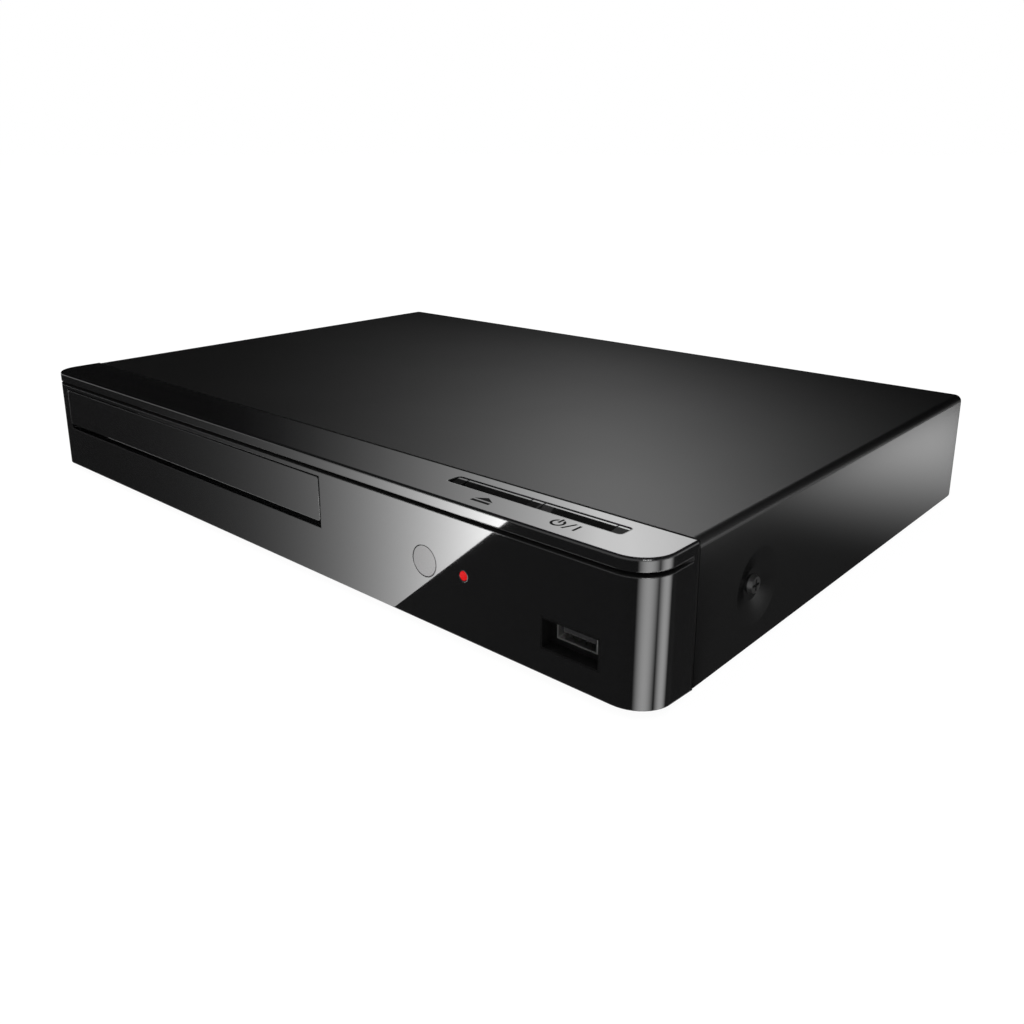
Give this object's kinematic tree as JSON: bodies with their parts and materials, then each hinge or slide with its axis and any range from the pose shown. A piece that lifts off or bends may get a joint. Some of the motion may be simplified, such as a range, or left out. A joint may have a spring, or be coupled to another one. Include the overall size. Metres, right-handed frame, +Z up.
{
  "type": "disc player",
  "caption": "Compact video disc player: gloss front with a sliding disc tray and bar keys, satin steel cover, belt-driven loader, tilting traverse and rear sockets.",
  "frame": {"origin": "on the table under the middle of the case, at the foot of the rubber feet", "axes": "+X to the player's right as seen from its front, +Y to the rear, +Z up"},
  "size_m": [0.312, 0.2196, 0.043],
  "materials": {
    "gloss_black": "high gloss moulding",
    "smoked_window": "dark infrared filter",
    "red_light": "clear red light pipe",
    "black_steel": "satin black paint",
    "zinc_steel": "bare zinc-plated sheet",
    "bright_steel": "ground and plated",
    "black_screw": "black oxide",
    "black_rubber": "moulded rubber",
    "black_plastic": "fine moulded grain",
    "grey_plastic": "fine moulded grain",
    "white_plastic": "natural acetal",
    "board_green": "solder mask",
    "chip_black": "moulded package",
    "heatsink_metal": "extruded",
    "contact_brass": "plated pins",
    "lens_glass": "coated lens",
    "cable_white": "flat cable",
    "winding_yellow": "wound tape"
  },
  "bodies": {
    "case": {"front_bezel": "gloss_black", "key_surround": "gloss_black", "ir_window": "smoked_window", "power_light": "red_light", "top_cover": "black_steel", "rear_panel": "black_steel", "bottom_chassis": "zinc_steel", "chassis_standoffs": "zinc_steel", "usb_shell": "zinc_steel", "hdmi_socket": "zinc_steel", "lan_socket": "zinc_steel", "clamper_bridge": "zinc_steel", "loading_motor": "zinc_steel", "board_screws": "bright_steel", "loader_screws": "bright_steel", "side_cover_screws": "black_screw", "rear_cover_screws": "black_screw", "rubber_feet": "black_rubber", "loader_grommets": "black_rubber", "drive_belt": "black_rubber", "loader_frame": "black_plastic", "usb_insert": "black_plastic", "mains_inlet": "black_plastic", "key_switches": "black_plastic", "ir_receiver": "black_plastic", "capacitors": "black_plastic", "board_connectors": "white_plastic", "power_led": "white_plastic", "front_board": "board_green", "key_board": "board_green", "main_board": "board_green", "power_board": "board_green", "board_chips": "chip_black", "heatsink": "heatsink_metal", "inlet_pins": "contact_brass", "front_ribbon": "cable_white", "loader_ribbon": "cable_white", "power_harness": "cable_white", "transformer": "winding_yellow"},
    "tray": {"disc_tray": "black_plastic", "tray_door": "gloss_black"},
    "drive_gear": {"drive_gear": "white_plastic"},
    "pulley_gear": {"pulley_gear": "white_plastic"},
    "motor_pulley": {"motor_pulley": "white_plastic"},
    "cam_slider": {"cam_slider": "white_plastic"},
    "traverse": {"traverse_deck": "grey_plastic", "spindle_motor": "zinc_steel", "guide_rods": "bright_steel", "sled_motor": "zinc_steel"},
    "spindle": {"turntable": "black_plastic"},
    "pickup": {"pickup_sled": "grey_plastic", "objective_lens": "lens_glass"},
    "lead_screw": {"lead_screw": "bright_steel"},
    "clamper": {"clamper": "grey_plastic"},
    "open_close_key": {"open_close_key": "gloss_black"},
    "power_key": {"power_key": "gloss_black"}
  },
  "joints": [
    {"name": "tray_slide", "type": "slide", "parent": "case", "child": "tray", "axis": [0, -1, 0], "range_m": [0, 0.13]},
    {"name": "drive_gear_spin", "type": "hinge", "parent": "case", "child": "drive_gear", "pos_m": [-0.01375, -0.0858, 0.021], "axis": [0, 0, -1], "range_deg": [0, 497.1]},
    {"name": "pulley_gear_spin", "type": "hinge", "parent": "case", "child": "pulley_gear", "pos_m": [-0.03575, -0.0858, 0.0154], "axis": [0, 0, 1], "range_deg": [0, 1064.6]},
    {"name": "motor_pulley_spin", "type": "hinge", "parent": "case", "child": "motor_pulley", "pos_m": [-0.07975, -0.0858, 0.0154], "axis": [0, 0, 1], "range_deg": [0, 3704.5]},
    {"name": "traverse_tilt", "type": "hinge", "parent": "case", "child": "traverse", "pos_m": [-0.05575, 0.0547, 0.0151], "axis": [1, 0, 0], "range_deg": [0, 3.25]},
    {"name": "cam_slide", "type": "slide", "parent": "case", "child": "cam_slider", "axis": [1, 0, 0], "range_m": [0, 0.02005]},
    {"name": "spindle_spin", "type": "hinge", "parent": "traverse", "child": "spindle", "pos_m": [-0.05575, -0.04045, 0.0161], "axis": [0, 0, 1], "continuous": true},
    {"name": "clamper_spin", "type": "hinge", "parent": "case", "child": "clamper", "pos_m": [-0.05575, -0.04045, 0.0336], "axis": [0, 0, 1], "continuous": true},
    {"name": "sled_slide", "type": "slide", "parent": "traverse", "child": "pickup", "axis": [0, 1, 0], "range_m": [0, 0.036]},
    {"name": "lead_screw_spin", "type": "hinge", "parent": "traverse", "child": "lead_screw", "pos_m": [-0.02825, 0, 0.0193], "axis": [0, 1, 0], "range_deg": [0, 3240.5]},
    {"name": "open_close_press", "type": "slide", "parent": "case", "child": "open_close_key", "axis": [0, 0, -1], "range_m": [0, 0.0006], "stiffness_N_per_m": 600},
    {"name": "power_press", "type": "slide", "parent": "case", "child": "power_key", "axis": [0, 0, -1], "range_m": [0, 0.0006], "stiffness_N_per_m": 600}
  ],
  "couplings": [
    {"joint": "drive_gear_spin", "follows": "tray_slide", "rad_per_m": 66.667},
    {"joint": "pulley_gear_spin", "follows": "tray_slide", "rad_per_m": 142.86},
    {"joint": "motor_pulley_spin", "follows": "tray_slide", "rad_per_m": 497.29},
    {"joint": "cam_slide", "follows": "traverse_tilt", "m_per_rad": 0.35241},
    {"joint": "lead_screw_spin", "follows": "sled_slide", "rad_per_m": 1570.8}
  ]
}
